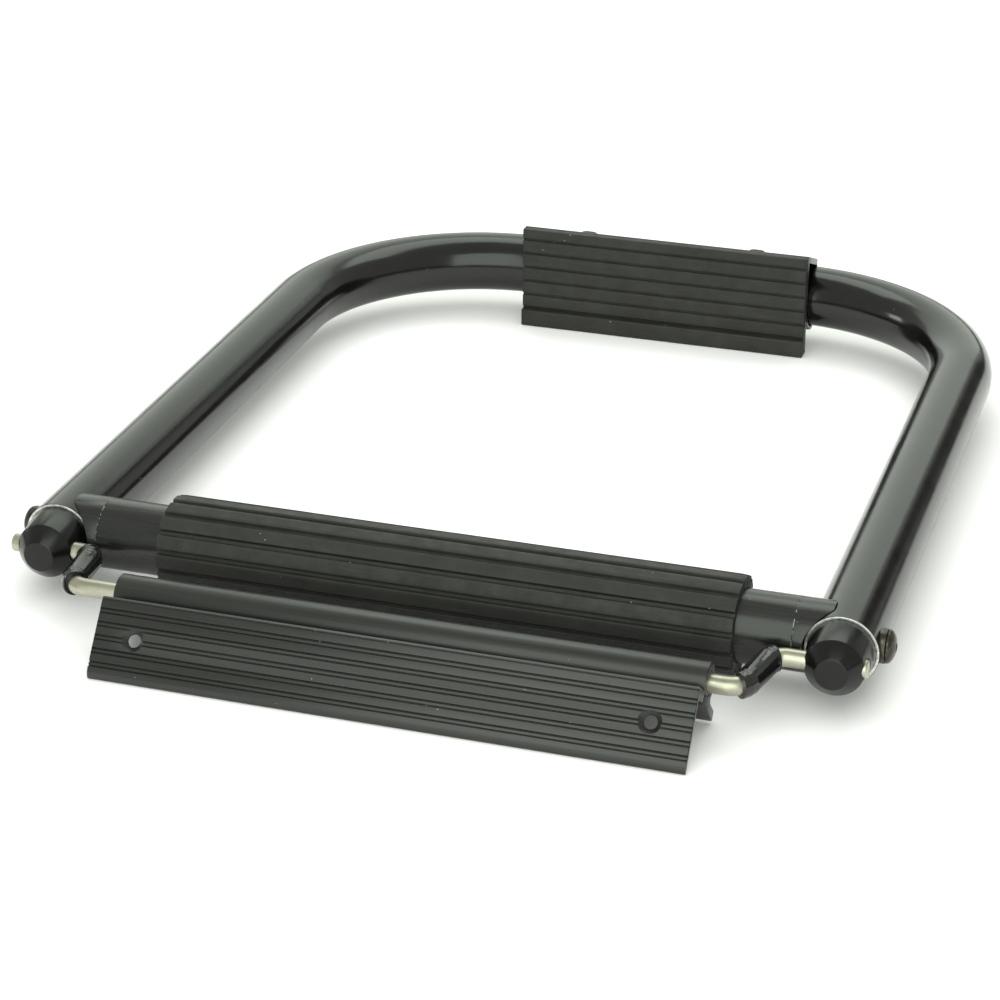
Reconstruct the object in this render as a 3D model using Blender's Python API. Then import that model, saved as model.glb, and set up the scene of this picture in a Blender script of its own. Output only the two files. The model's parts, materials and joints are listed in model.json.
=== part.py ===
"""Fold-down tubular hoop with a ribbed tread and crossbar sleeve.

The hoop hangs from a cranked pivot rod, and the rod turns in a screw-on hinge bracket.
Metres, +Z up, X along the crossbar, +Y from the hinge towards the tread.  The object
rests on z = 0 on the crossbar sleeve, the tread's lip and the bracket's two lower edges.
"""
import math

import bmesh
import bpy
from mathutils import Matrix, Vector

# ---- driving dimensions (metres, degrees) ----------------------------------
GAP = 0.0003                  # clearance between touching pieces

TUBE_R = 0.015875             # hoop and crossbar tube, 1 1/4 inch outside
TUBE_WALL = 0.0016
LEG_X = 0.176                 # leg centreline from the middle
LEG_LENGTH = 0.3925           # leg end to the far bar's centreline
BEND_R = 0.100                # centreline radius of the hoop's two bends
TUBE_SIDES = 28
BEND_STEPS = 12

PLUG_INSERT = 0.038           # length of the plug inside the leg
PLUG_SHOULDER = 0.0152        # first taper, outside the leg
PLUG_NOSE = 0.0215            # flat tip, outside the leg
PLUG_BASE_R = 0.0144
PLUG_SHOULDER_R = 0.0127
PLUG_TIP_R = 0.0069
PLUG_CHAMFER = 0.001

JOURNAL_AHEAD = 0.012         # rod journal axis in front of the leg ends
CROSSBAR_BACK = 0.0099        # crossbar axis behind the leg ends
SEAM_X = 0.156                # seam between crossbar tube and end piece
SPIGOT_LENGTH = 0.025
EAR_TRIM = 0.005              # ears of the coped end stop this far from the leg's crown

SCREW_R = 0.003
SCREW_HEAD_R = 0.0072
SCREW_HEAD_H = 0.0036
SCREW_RIM_H = 0.0016          # straight rim under the dome
SCREW_SHOULDER_R = 0.0056
SCREW_CROWN_H = 0.0005
SCREW_CROWN_R = 0.0040
SCREW_TIP_X = 0.134
WASHER_R = 0.0074
WASHER_THICK = 0.001          # at its thinnest, over the leg's crown
INSERT_R = 0.005
INSERT_LENGTH = 0.0144

SLEEVE_R = 0.0214
SLEEVE_LENGTH = 0.257
SLEEVE_SHIFT = 0.0035
SLEEVE_RIBS = 15
SLEEVE_GROOVE = 0.0021
SLEEVE_GROOVE_DEPTH = 0.0016
SLEEVE_PHASE = 13.6           # degrees, first groove above the forward direction

ROD_R = 0.0040
ROD_TIPS = (-0.1924, 0.1895)  # journal tips, left and right
UPPER_ELBOWS = (-0.1540, 0.1504)
LOWER_ELBOWS = (-0.1516, 0.1439)
ROD_SIDES = 20
CRANK = 0.030                 # journal axis to bracket bore axis
ELBOW_R = 0.008
ELBOW_STEPS = 6
VINYL_R = 0.0057
VINYL_INNER_R = ROD_R + GAP

BRACKET_LENGTH = 0.258
BRACKET_SHIFT = 0.0018
PLATE_HEIGHT = 0.0352
PLATE_THICK = 0.003
BORE_BACK = 0.019             # bore axis behind the plate's front face
BORE_UP = 0.0046              # bore axis above the plate's top edge
BOSS_R = 0.0088
BORE_R = 0.0055
FLANGE_END = 0.037            # flange tip behind the plate's front face
FLANGE_BOTTOM = -0.0083       # flange tip's lower corner from the plate's top edge
FLANGE_THICK = 0.0044
FLANGE_ROOT = (0.0276, -0.0024)  # top of the flange where it leaves the boss
BRACKET_EDGE = 0.0006         # broken corners
WEB_UNDER = -0.0046           # underside of the web that joins plate and boss
SLOT_FRONT = 0.0117           # front wall of the slot under the bore
SLOT_LIP = -0.0002
SLOT_START_DEG = 215.0        # the bore's arc, open to the slot below
SLOT_END_DEG = -90.5
BOSS_END_DEG = -38.0
BORE_STEPS = 22
GROOVE_COUNT = 5
GROOVE_FIRST = 0.0062
GROOVE_PITCH = 0.00575
GROOVE_WIDTH = 0.0024
GROOVE_DEPTH = 0.0007
HOLE_HALF_SPACING = 0.1116
HOLE_DOWN = 0.0168
HOLE_R = 0.0029
COUNTERSINK_R = 0.0047
COUNTERSINK_DEPTH = 0.0018
BUSH_LENGTH = 0.016

TREAD_LENGTH = 0.157
TREAD_SHIFT = 0.0035
TREAD_TOP = 0.0284            # tread top and bottom, about the far bar's axis
TREAD_BOTTOM = -0.0268
PAD_FRONT = 0.023             # pad face in front of the far bar's axis
PAD_BACK = 0.019
LIP_FRONT = 0.0255
LIP_HEIGHT = 0.0093
LIP_EDGE = 0.0008             # broken corners of the lip
PAD_GROOVES = 6
PAD_GROOVE_FIRST = 0.0058
PAD_GROOVE_PITCH = 0.0079
PAD_GROOVE_WIDTH = 0.0011
PAD_GROOVE_DEPTH = 0.0011
PLATE_FRONT = PAD_BACK - GAP
PLATE_BACK = 0.0163
PLATE_BOTTOM = 0.0244
PLATE_NOTCH = -0.006          # the hook leaves the plate's back below this height
ARM_ANGLE = 68.0              # carrier arm touches the far bar here, degrees from +Y
ARM_THICK = 0.0036
ARM_TIP = 0.0065
HOOK_THICK = 0.0021
HOOK_START_DEG = 203.0
HOOK_END_DEG = 272.0
TREAD_SCREW_X = (-0.0442, 0.0497)
TREAD_SCREW_BACK = 0.0015     # where the screws cross the arm's top, behind the bar's axis
TREAD_SCREW_R = 0.0022
TREAD_SCREW_HEAD_R = 0.0044
TREAD_SCREW_HEAD_H = 0.0017
TREAD_SCREW_LENGTH = 0.011
TREAD_SCREW_POINT = 0.0025

REST_CENTRE_Y = 0.163606      # middle of the object's box, from the leg ends

# ---- rest pose --------------------------------------------------------------
# As photographed: the hoop lies on the tread's lip and, at the front, on the lower edge of
# the bracket's plate.  The crank and the bracket stand at these angles to the hoop.
CRANK_DROP = math.radians(1.0)
BRACKET_TO_HOOP = math.radians(37.66)
FOOT = Vector((PLATE_THICK - BORE_BACK, -PLATE_HEIGHT - BORE_UP))
FOOT_TURN = Matrix.Rotation(-BRACKET_TO_HOOP, 2)
FOOT_FROM_JOURNAL = FOOT_TURN @ FOOT - CRANK * Vector((math.cos(CRANK_DROP), math.sin(CRANK_DROP)))
LIP_FROM_JOURNAL = Vector((JOURNAL_AHEAD + LEG_LENGTH - LIP_FRONT, TREAD_BOTTOM))
STANCE = LIP_FROM_JOURNAL - FOOT_FROM_JOURNAL
REST_TILT = -math.atan2(STANCE.y, STANCE.x)
JOURNAL_HEIGHT = -(Matrix.Rotation(REST_TILT, 2) @ FOOT_FROM_JOURNAL).y
CRANK_LIFT = -CRANK_DROP - REST_TILT
BRACKET_LEAN = BRACKET_TO_HOOP - REST_TILT


# ---- scene helpers ----------------------------------------------------------
def clear_scene():
    for item in list(bpy.data.objects):
        bpy.data.objects.remove(item, do_unlink=True)


def make_material(name, colour, roughness, metallic=0.0):
    mat = bpy.data.materials.new(name)
    mat.use_nodes = True
    shader = mat.node_tree.nodes["Principled BSDF"]
    shader.inputs["Base Color"].default_value = (*colour, 1.0)
    shader.inputs["Roughness"].default_value = roughness
    shader.inputs["Metallic"].default_value = metallic
    return mat


def make_empty(name, location, turn_x, parent=None):
    empty = bpy.data.objects.new(name, None)
    empty.parent = parent
    empty.location = location
    empty.rotation_euler = (turn_x, 0.0, 0.0)
    bpy.context.scene.collection.objects.link(empty)
    return empty


def add_object(name, mesh_data, parent, mat=None, location=(0, 0, 0)):
    """Make an object from a bmesh, with its normals out and its round faces smooth."""
    bmesh.ops.recalc_face_normals(mesh_data, faces=mesh_data.faces[:])
    mesh = bpy.data.meshes.new(name)
    mesh_data.to_mesh(mesh)
    mesh_data.free()
    mesh.shade_smooth()
    mesh.set_sharp_from_angle(angle=math.radians(32.0))
    item = bpy.data.objects.new(name, mesh)
    item.parent = parent
    item.location = location
    if mat is not None:
        mesh.materials.append(mat)
    bpy.context.scene.collection.objects.link(item)
    return item


def add_cutter(name, mesh_data, parent, location=(0, 0, 0)):
    item = add_object(name, mesh_data, parent, None, location)
    item.hide_render = True
    item.display_type = "WIRE"
    return item


def cut(item, cutter):
    boolean = item.modifiers.new("cut_" + cutter.name, "BOOLEAN")
    boolean.operation = "DIFFERENCE"
    boolean.solver = "EXACT"
    boolean.object = cutter


# ---- mesh helpers -----------------------------------------------------------
def bridge(mesh_data, first, second):
    """Join two vertex rings, either of which may be a single pole vertex."""
    count = max(len(first), len(second))
    for i in range(count):
        j = (i + 1) % count
        if len(first) == 1:
            mesh_data.faces.new((first[0], second[j], second[i]))
        elif len(second) == 1:
            mesh_data.faces.new((first[i], first[j], second[0]))
        else:
            mesh_data.faces.new((first[i], first[j], second[j], second[i]))


def turned(profile, sides, axis="X", closed=False):
    """Turn (distance along axis, radius) points about an axis."""
    mesh_data = bmesh.new()
    rings = []
    for along, radius in profile:
        ring = []
        for k in range(sides if radius > 0 else 1):
            angle = 2 * math.pi * k / sides
            a = radius * math.cos(angle)
            b = radius * math.sin(angle)
            point = {"X": (along, a, b), "Y": (a, along, b), "Z": (a, b, along)}[axis]
            ring.append(mesh_data.verts.new(point))
        rings.append(ring)
    for first, second in zip(rings, rings[1:]):
        bridge(mesh_data, first, second)
    if closed:
        bridge(mesh_data, rings[-1], rings[0])
    return mesh_data


def cylinder(start, end, radius, sides, axis="X"):
    return turned([(start, 0), (start, radius), (end, radius), (end, 0)], sides, axis)


def extruded(outline, x_start, x_end):
    """Extrude a (y, z) outline along X."""
    mesh_data = bmesh.new()
    near = [mesh_data.verts.new((x_start, y, z)) for y, z in outline]
    far = [mesh_data.verts.new((x_end, y, z)) for y, z in outline]
    bridge(mesh_data, near, far)
    mesh_data.faces.new(near[::-1])
    mesh_data.faces.new(far)
    return mesh_data


def rounded_path(corners, radius, steps):
    """A flat polyline in the XY plane with its inner corners turned into arcs."""
    points = [Vector(corners[0])]
    for before, corner, after in zip(corners, corners[1:], corners[2:]):
        corner = Vector(corner)
        back = (Vector(before) - corner).normalized()
        ahead = (Vector(after) - corner).normalized()
        half = back.angle(ahead) / 2
        centre = corner + (back + ahead).normalized() * radius / math.sin(half)
        start = corner + back * radius / math.tan(half) - centre
        sweep = math.pi - 2 * half
        turn = 1.0 if back.cross(ahead).z < 0 else -1.0
        for k in range(steps + 1):
            spin = Matrix.Rotation(turn * sweep * k / steps, 3, "Z")
            points.append(centre + spin @ start)
    points.append(Vector(corners[-1]))
    return points


def swept(path, radii, sides):
    """Sweep a round section along a path in the XY plane; two radii make a hollow tube."""
    mesh_data = bmesh.new()
    shells = []
    for radius in radii:
        rings = []
        for k, point in enumerate(path):
            ahead = (path[min(k + 1, len(path) - 1)] - point).normalized()
            behind = (point - path[max(k - 1, 0)]).normalized()
            tangent = (ahead + behind).normalized()
            stretch = 1.0 / max(0.5, tangent.dot(ahead) if ahead.length else tangent.dot(behind))
            side = Vector((-tangent.y, tangent.x, 0.0)) * stretch
            ring = []
            for j in range(sides):
                angle = 2 * math.pi * j / sides
                offset = side * math.cos(angle) + Vector((0, 0, math.sin(angle)))
                ring.append(mesh_data.verts.new(point + offset * radius))
            rings.append(ring)
        for first, second in zip(rings, rings[1:]):
            bridge(mesh_data, first, second)
        shells.append(rings)
    for end in (0, -1):
        if len(shells) == 2:
            bridge(mesh_data, shells[0][end], shells[1][end])
        else:
            mesh_data.faces.new(shells[0][end])
    return mesh_data


def arc(centre, radius, start_deg, end_deg, steps):
    points = []
    for k in range(steps + 1):
        angle = math.radians(start_deg + (end_deg - start_deg) * k / steps)
        points.append((centre[0] + radius * math.cos(angle), centre[1] + radius * math.sin(angle)))
    return points


# ---- hoop body --------------------------------------------------------------
# Hoop pieces are placed from the leg ends, which lie JOURNAL_AHEAD behind the frame's axis.
def hoop_point(x, y, z=0.0):
    return (x, y + JOURNAL_AHEAD, z)


def make_hoop_tube(frame, mat, screw_cutters):
    far = LEG_LENGTH
    corners = [(-LEG_X, 0, 0), (-LEG_X, far, 0), (LEG_X, far, 0), (LEG_X, 0, 0)]
    path = rounded_path(corners, BEND_R, BEND_STEPS)
    tube = swept(path, (TUBE_R, TUBE_R - TUBE_WALL), TUBE_SIDES)
    item = add_object("hoop_tube", tube, frame, mat, hoop_point(0, 0))
    for cutter in screw_cutters:
        cut(item, cutter)
    return item


def make_end_plug(side, frame, mat, screw_cutter):
    insert_r = TUBE_R - TUBE_WALL - GAP
    profile = [
        (PLUG_INSERT, 0),
        (PLUG_INSERT, insert_r - PLUG_CHAMFER),
        (PLUG_INSERT - PLUG_CHAMFER, insert_r),
        (-GAP, insert_r),
        (-GAP, PLUG_BASE_R),
        (-PLUG_SHOULDER, PLUG_SHOULDER_R),
        (-PLUG_NOSE, PLUG_TIP_R),
        (-PLUG_NOSE, 0),
    ]
    name = "end_plug_" + side_name(side)
    item = add_object(name, turned(profile, TUBE_SIDES, "Y"), frame, mat, hoop_point(side * LEG_X, 0))
    reach = PLUG_BASE_R * 2
    rod_hole = cylinder(-reach, reach, ROD_R + GAP, ROD_SIDES)
    cut(item, add_cutter(name + "_rod_hole", rod_hole, frame, (side * LEG_X, 0, 0)))
    cut(item, screw_cutter)


def make_crossbar_tube(frame, mat):
    end = SEAM_X - GAP
    inner = TUBE_R - TUBE_WALL
    profile = [(-end, TUBE_R), (end, TUBE_R), (end, inner), (-end, inner)]
    tube = turned(profile, TUBE_SIDES, closed=True)
    add_object("crossbar_tube", tube, frame, mat, hoop_point(0, CROSSBAR_BACK))


def make_crossbar_end(side, frame, mat, screw_cutter):
    """Collar coped to the leg, with a spigot and an insert pocket inside the crossbar."""
    spigot_r = TUBE_R - TUBE_WALL - GAP
    spigot_end = SEAM_X - SPIGOT_LENGTH
    pocket_end = spigot_end + INSERT_LENGTH + 2 * GAP
    profile = [
        (pocket_end, 0),
        (pocket_end, INSERT_R + GAP),
        (spigot_end, INSERT_R + GAP),
        (spigot_end, spigot_r),
        (SEAM_X, spigot_r),
        (SEAM_X, TUBE_R),
        (LEG_X - EAR_TRIM, TUBE_R),
        (LEG_X - EAR_TRIM, 0),
    ]
    name = "crossbar_end_" + side_name(side)
    mirrored = [(side * along, radius) for along, radius in profile]
    item = add_object(name, turned(mirrored, TUBE_SIDES), frame, mat, hoop_point(0, CROSSBAR_BACK))
    cope = cylinder(-TUBE_R * 2, TUBE_R * 2, TUBE_R + GAP, TUBE_SIDES, "Y")
    cut(item, add_cutter(name + "_cope", cope, frame, hoop_point(side * LEG_X, CROSSBAR_BACK)))
    cut(item, screw_cutter)


def make_leg_fasteners(side, frame, steel, brass):
    """Button-head screw, saddle washer and the threaded insert that the screw holds."""
    seat = LEG_X + TUBE_R + GAP + WASHER_THICK
    place = hoop_point(0, CROSSBAR_BACK)
    washer = [(LEG_X, SCREW_R + GAP), (LEG_X, WASHER_R), (seat, WASHER_R), (seat, SCREW_R + GAP)]
    washer = turned([(side * along, radius) for along, radius in washer], ROD_SIDES, closed=True)
    name = "saddle_washer_" + side_name(side)
    item = add_object(name, washer, frame, steel, place)
    leg = cylinder(-TUBE_R * 2, TUBE_R * 2, TUBE_R + GAP, TUBE_SIDES * 2, "Y")
    cut(item, add_cutter(name + "_leg", leg, frame, hoop_point(side * LEG_X, CROSSBAR_BACK)))

    under = seat + GAP
    top = under + SCREW_HEAD_H
    screw = [
        (SCREW_TIP_X, 0),
        (SCREW_TIP_X, SCREW_R),
        (under, SCREW_R),
        (under, SCREW_HEAD_R),
        (under + SCREW_RIM_H, SCREW_HEAD_R),
        (top - SCREW_CROWN_H, SCREW_SHOULDER_R),
        (top, SCREW_CROWN_R),
        (top, 0),
    ]
    screw = turned([(side * along, radius) for along, radius in screw], ROD_SIDES)
    add_object("leg_screw_" + side_name(side), screw, frame, steel, place)

    start = SEAM_X - SPIGOT_LENGTH + GAP
    bore = SCREW_R + GAP
    insert = [(start, bore), (start, INSERT_R)]
    insert += [(start + INSERT_LENGTH, INSERT_R), (start + INSERT_LENGTH, bore)]
    insert = turned([(side * along, radius) for along, radius in insert], ROD_SIDES, closed=True)
    add_object("threaded_insert_" + side_name(side), insert, frame, brass, place)


def sleeve_outline():
    """Ribs are flat between narrow grooves; the outline runs round the crossbar's axis."""
    floor_r = SLEEVE_R - SLEEVE_GROOVE_DEPTH
    half_groove = math.degrees(SLEEVE_GROOVE / 2 / SLEEVE_R)
    pitch = 360.0 / SLEEVE_RIBS
    points = []
    for k in range(SLEEVE_RIBS):
        groove = SLEEVE_PHASE + k * pitch
        for radius, offset in (
            (SLEEVE_R, -half_groove),
            (floor_r, -half_groove),
            (floor_r, half_groove),
            (SLEEVE_R, half_groove),
            (SLEEVE_R, pitch / 2),
        ):
            angle = math.radians(180.0 - groove - offset)
            points.append((radius * math.cos(angle), radius * math.sin(angle)))
    return points


def make_crossbar_sleeve(frame, mat):
    outer = extruded(sleeve_outline(), -SLEEVE_LENGTH / 2, SLEEVE_LENGTH / 2)
    place = hoop_point(SLEEVE_SHIFT, CROSSBAR_BACK)
    item = add_object("crossbar_sleeve", outer, frame, mat, place)
    bore = cylinder(-SLEEVE_LENGTH, SLEEVE_LENGTH, TUBE_R + GAP, TUBE_SIDES)
    cut(item, add_cutter("crossbar_sleeve_bore", bore, frame, place))


def pad_outline():
    """Pad section about the far bar's axis: strips, grooves and the lip under the carrier."""
    points = [(-PAD_BACK, TREAD_TOP), (-PAD_FRONT, TREAD_TOP)]
    half = PAD_GROOVE_WIDTH / 2
    for k in range(PAD_GROOVES):
        z = TREAD_TOP - PAD_GROOVE_FIRST - k * PAD_GROOVE_PITCH
        floor = PAD_GROOVE_DEPTH - PAD_FRONT
        points += [(-PAD_FRONT, z + half), (floor, z + half), (floor, z - half)]
        if k < PAD_GROOVES - 1:
            points.append((-PAD_FRONT, z - half))
    lip_top = TREAD_BOTTOM + LIP_HEIGHT
    points += [(LIP_EDGE - LIP_FRONT, lip_top), (-LIP_FRONT, lip_top - LIP_EDGE)]
    points += [(-LIP_FRONT, TREAD_BOTTOM + LIP_EDGE), (LIP_EDGE - LIP_FRONT, TREAD_BOTTOM)]
    points += [(-PLATE_BACK, TREAD_BOTTOM), (-PLATE_BACK, -PLATE_BOTTOM - GAP)]
    points.append((-PAD_BACK, -PLATE_BOTTOM - GAP))
    return points


def arm_height(y, distance):
    """Height of the arm's sloping face that lies this far from the far bar's axis."""
    angle = math.radians(ARM_ANGLE)
    return (distance - math.cos(angle) * y) / math.sin(angle)


def carrier_outline():
    """Carrier section about the far bar's axis: plate, arm with the screws, lower hook."""
    under = TUBE_R + GAP
    top = under + ARM_THICK
    angle = math.radians(ARM_ANGLE)
    ridge = (top - TREAD_TOP * math.sin(angle)) / math.cos(angle)
    hook_in = TUBE_R + 2 * GAP
    hook_out = hook_in + HOOK_THICK
    hook_root = 180.0 + math.degrees(math.acos(PLATE_BACK / hook_out))
    points = [
        (-PLATE_FRONT, -PLATE_BOTTOM),
        (-PLATE_FRONT, TREAD_TOP),
        (ridge, TREAD_TOP),
        (ARM_TIP, arm_height(ARM_TIP, top)),
        (ARM_TIP, arm_height(ARM_TIP, under)),
        (-PLATE_BACK, arm_height(-PLATE_BACK, under)),
        (-PLATE_BACK, PLATE_NOTCH),
    ]
    points += arc((0, 0), hook_in, HOOK_START_DEG, HOOK_END_DEG, 8)
    points += arc((0, 0), hook_out, HOOK_END_DEG, hook_root, 8)
    points.append((-PLATE_BACK, -PLATE_BOTTOM))
    return points


def make_tread(frame, rubber, anodised, steel):
    place = hoop_point(TREAD_SHIFT, LEG_LENGTH)
    pad = extruded(pad_outline(), -TREAD_LENGTH / 2, TREAD_LENGTH / 2)
    add_object("tread_pad", pad, frame, rubber, place)
    carrier = extruded(carrier_outline(), -TREAD_LENGTH / 2, TREAD_LENGTH / 2)
    carrier = add_object("tread_carrier", carrier, frame, anodised, place)

    tilt = Matrix.Rotation(math.radians(ARM_ANGLE - 90.0), 4, "X")
    seat = arm_height(TREAD_SCREW_BACK, TUBE_R + ARM_THICK + 2 * GAP)
    cutters = []
    for side, x in zip((-1, 1), TREAD_SCREW_X):
        centre = Vector(hoop_point(x, LEG_LENGTH + TREAD_SCREW_BACK, seat))
        profile = [
            (-TREAD_SCREW_LENGTH, 0),
            (TREAD_SCREW_POINT - TREAD_SCREW_LENGTH, TREAD_SCREW_R),
            (0, TREAD_SCREW_R),
            (0, TREAD_SCREW_HEAD_R),
            (TREAD_SCREW_HEAD_H / 2, TREAD_SCREW_HEAD_R),
            (TREAD_SCREW_HEAD_H, TREAD_SCREW_HEAD_R / 2),
            (TREAD_SCREW_HEAD_H, 0),
        ]
        screw = turned(profile, ROD_SIDES, "Z")
        bmesh.ops.transform(screw, matrix=tilt, verts=screw.verts)
        add_object("tread_screw_" + side_name(side), screw, frame, steel, centre)
        hole = cylinder(-TREAD_SCREW_LENGTH - GAP, SLEEVE_R, TREAD_SCREW_R + GAP, ROD_SIDES, "Z")
        bmesh.ops.transform(hole, matrix=tilt, verts=hole.verts)
        cutters.append(add_cutter("tread_hole_" + side_name(side), hole, frame, centre))
        cut(carrier, cutters[-1])
    return cutters


# ---- rod body ---------------------------------------------------------------
def rod_path():
    left = [(ROD_TIPS[0], 0, 0), (UPPER_ELBOWS[0], 0, 0), (LOWER_ELBOWS[0], -CRANK, 0)]
    right = [(LOWER_ELBOWS[1], -CRANK, 0), (UPPER_ELBOWS[1], 0, 0), (ROD_TIPS[1], 0, 0)]
    return rounded_path(left + right, ELBOW_R, ELBOW_STEPS)


def make_pivot_rod(frame, mat):
    add_object("pivot_rod", swept(rod_path(), (ROD_R,), ROD_SIDES), frame, mat)


def make_crank_sleeve(side, frame, mat):
    """The vinyl tube runs from the middle of one elbow to the middle of the other."""
    elbow = ELBOW_STEPS + 1
    first = 1 + ELBOW_STEPS // 2 + (2 * elbow if side > 0 else 0)
    tube = swept(rod_path()[first:first + elbow + 1], (VINYL_R, VINYL_INNER_R), ROD_SIDES)
    add_object("crank_sleeve_" + side_name(side), tube, frame, mat)


# ---- bracket body -----------------------------------------------------------
def bracket_outline():
    """Bracket section about the bore axis: y runs back from the plate, z up along it."""
    def local(back, up):
        return (back - BORE_BACK, up - BORE_UP)

    points = [local(BRACKET_EDGE, 0), local(0, -BRACKET_EDGE)]
    for k in range(GROOVE_COUNT):
        up = -GROOVE_FIRST - k * GROOVE_PITCH
        half = GROOVE_WIDTH / 2
        points += [local(0, up + half), local(GROOVE_DEPTH, up + half)]
        points += [local(GROOVE_DEPTH, up - half), local(0, up - half)]
    points += [local(0, -PLATE_HEIGHT), local(PLATE_THICK, -PLATE_HEIGHT)]
    points += [local(PLATE_THICK, WEB_UNDER), local(SLOT_FRONT, WEB_UNDER)]
    points.append(local(SLOT_FRONT + GAP, SLOT_LIP))
    points += arc((0, 0), BORE_R, SLOT_START_DEG, SLOT_END_DEG, BORE_STEPS)
    points.append(local(BORE_BACK + GAP, WEB_UNDER))
    points.append(local(FLANGE_END - BRACKET_EDGE, FLANGE_BOTTOM))
    points.append(local(FLANGE_END, FLANGE_BOTTOM + BRACKET_EDGE))
    points.append(local(FLANGE_END, FLANGE_BOTTOM + FLANGE_THICK))
    points.append(local(*FLANGE_ROOT))
    ledge = 180.0 + math.degrees(math.asin(BORE_UP / BOSS_R))
    points += arc((0, 0), BOSS_R, BOSS_END_DEG, ledge, BORE_STEPS)
    return points


def make_bracket(frame, mat):
    place = (BRACKET_SHIFT, 0, 0)
    half = BRACKET_LENGTH / 2
    item = add_object("hinge_bracket", extruded(bracket_outline(), -half, half), frame, mat, place)
    for side in (-1, 1):
        centre = (side * HOLE_HALF_SPACING + BRACKET_SHIFT, 0, -BORE_UP - HOLE_DOWN)
        front = -BORE_BACK
        profile = [
            (front - PLATE_THICK, 0),
            (front - PLATE_THICK, COUNTERSINK_R),
            (front, COUNTERSINK_R),
            (front + COUNTERSINK_DEPTH, HOLE_R),
            (front + 2 * PLATE_THICK, HOLE_R),
            (front + 2 * PLATE_THICK, 0),
        ]
        hole = turned(profile, ROD_SIDES, "Y")
        cut(item, add_cutter("plate_hole_" + side_name(side), hole, frame, centre))


def make_bush(side, frame, mat):
    outer = side * (BRACKET_LENGTH / 2 - GAP)
    inner = side * (BRACKET_LENGTH / 2 - BUSH_LENGTH)
    bore = ROD_R + GAP
    ring = BORE_R - GAP
    bush = [(inner, bore), (inner, ring), (outer, ring), (outer, bore)]
    bush = turned(bush, ROD_SIDES, closed=True)
    add_object("hinge_bush_" + side_name(side), bush, frame, mat, (BRACKET_SHIFT, 0, 0))


def side_name(side):
    return "left" if side < 0 else "right"


# ---- assembly ---------------------------------------------------------------
def build():
    clear_scene()
    gloss = make_material("gloss_black_paint", (0.006, 0.006, 0.007), 0.12)
    moulded = make_material("moulded_black_plastic", (0.011, 0.011, 0.012), 0.34)
    plug_black = make_material("turned_black_plug", (0.010, 0.010, 0.011), 0.22)
    rubber = make_material("ribbed_black_rubber", (0.017, 0.017, 0.017), 0.78)
    anodised = make_material("satin_black_extrusion", (0.018, 0.018, 0.019), 0.42, 0.4)
    stainless = make_material("stainless_rod", (0.60, 0.585, 0.54), 0.30, 1.0)
    black_screw = make_material("blackened_screw", (0.022, 0.021, 0.020), 0.38, 0.7)
    brass = make_material("brass_insert", (0.60, 0.42, 0.16), 0.35, 1.0)
    vinyl = make_material("glossy_vinyl", (0.007, 0.007, 0.008), 0.15)
    bush_white = make_material("natural_nylon", (0.42, 0.40, 0.36), 0.5)

    journal = (0, -REST_CENTRE_Y - JOURNAL_AHEAD, JOURNAL_HEIGHT)
    hoop_frame = make_empty("hoop_frame", journal, REST_TILT)
    rod_frame = make_empty("rod_frame", journal, -CRANK_LIFT)
    bore = (0, -CRANK, 0)
    bracket_frame = make_empty("bracket_frame", bore, CRANK_LIFT - BRACKET_LEAN, rod_frame)

    screw_cutters = []
    for side in (-1, 1):
        hole = cylinder(side * SCREW_TIP_X, side * (LEG_X + 2 * TUBE_R), SCREW_R + GAP, ROD_SIDES)
        name = "leg_screw_hole_" + side_name(side)
        screw_cutters.append(add_cutter(name, hole, hoop_frame, hoop_point(0, CROSSBAR_BACK)))
    tread_cutters = make_tread(hoop_frame, rubber, anodised, black_screw)
    make_hoop_tube(hoop_frame, gloss, screw_cutters + tread_cutters)
    make_crossbar_tube(hoop_frame, moulded)
    make_crossbar_sleeve(hoop_frame, rubber)
    for side, screw_cutter in zip((-1, 1), screw_cutters):
        make_end_plug(side, hoop_frame, plug_black, screw_cutter)
        make_crossbar_end(side, hoop_frame, moulded, screw_cutter)
        make_leg_fasteners(side, hoop_frame, black_screw, brass)
    make_pivot_rod(rod_frame, stainless)
    for side in (-1, 1):
        make_crank_sleeve(side, rod_frame, vinyl)
        make_bush(side, bracket_frame, bush_white)
    make_bracket(bracket_frame, anodised)


build()
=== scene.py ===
"""Looks of the fold-down tubular step hoop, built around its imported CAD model.

Metres, in the CAD's frame.  Pieces are made in three local frames: the hoop's (origin midway
between the leg ends, +Y to the tread), the rod's (origin on the journal axis) and the
bracket's (origin on the bore axis, +Z up along the plate).
"""
import json
import math

import bpy
import bmesh
from mathutils import Matrix, Vector, noise


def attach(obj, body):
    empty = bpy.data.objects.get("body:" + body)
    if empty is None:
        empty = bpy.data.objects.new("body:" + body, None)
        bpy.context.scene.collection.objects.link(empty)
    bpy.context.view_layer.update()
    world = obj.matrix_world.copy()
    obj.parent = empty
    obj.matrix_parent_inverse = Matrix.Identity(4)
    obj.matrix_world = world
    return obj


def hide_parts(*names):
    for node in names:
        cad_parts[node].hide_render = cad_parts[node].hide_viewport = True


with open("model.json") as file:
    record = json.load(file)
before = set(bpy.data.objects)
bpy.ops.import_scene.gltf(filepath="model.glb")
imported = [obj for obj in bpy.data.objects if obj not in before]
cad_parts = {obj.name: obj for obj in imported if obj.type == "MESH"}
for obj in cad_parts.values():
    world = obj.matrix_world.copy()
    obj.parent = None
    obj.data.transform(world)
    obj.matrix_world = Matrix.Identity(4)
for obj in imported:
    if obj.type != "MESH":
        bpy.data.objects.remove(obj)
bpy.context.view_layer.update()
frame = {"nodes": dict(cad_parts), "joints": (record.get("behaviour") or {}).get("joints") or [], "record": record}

# ---- local frames -----------------------------------------------------------
JOINTS = {joint["name"]: joint for joint in frame["joints"]}
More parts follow.
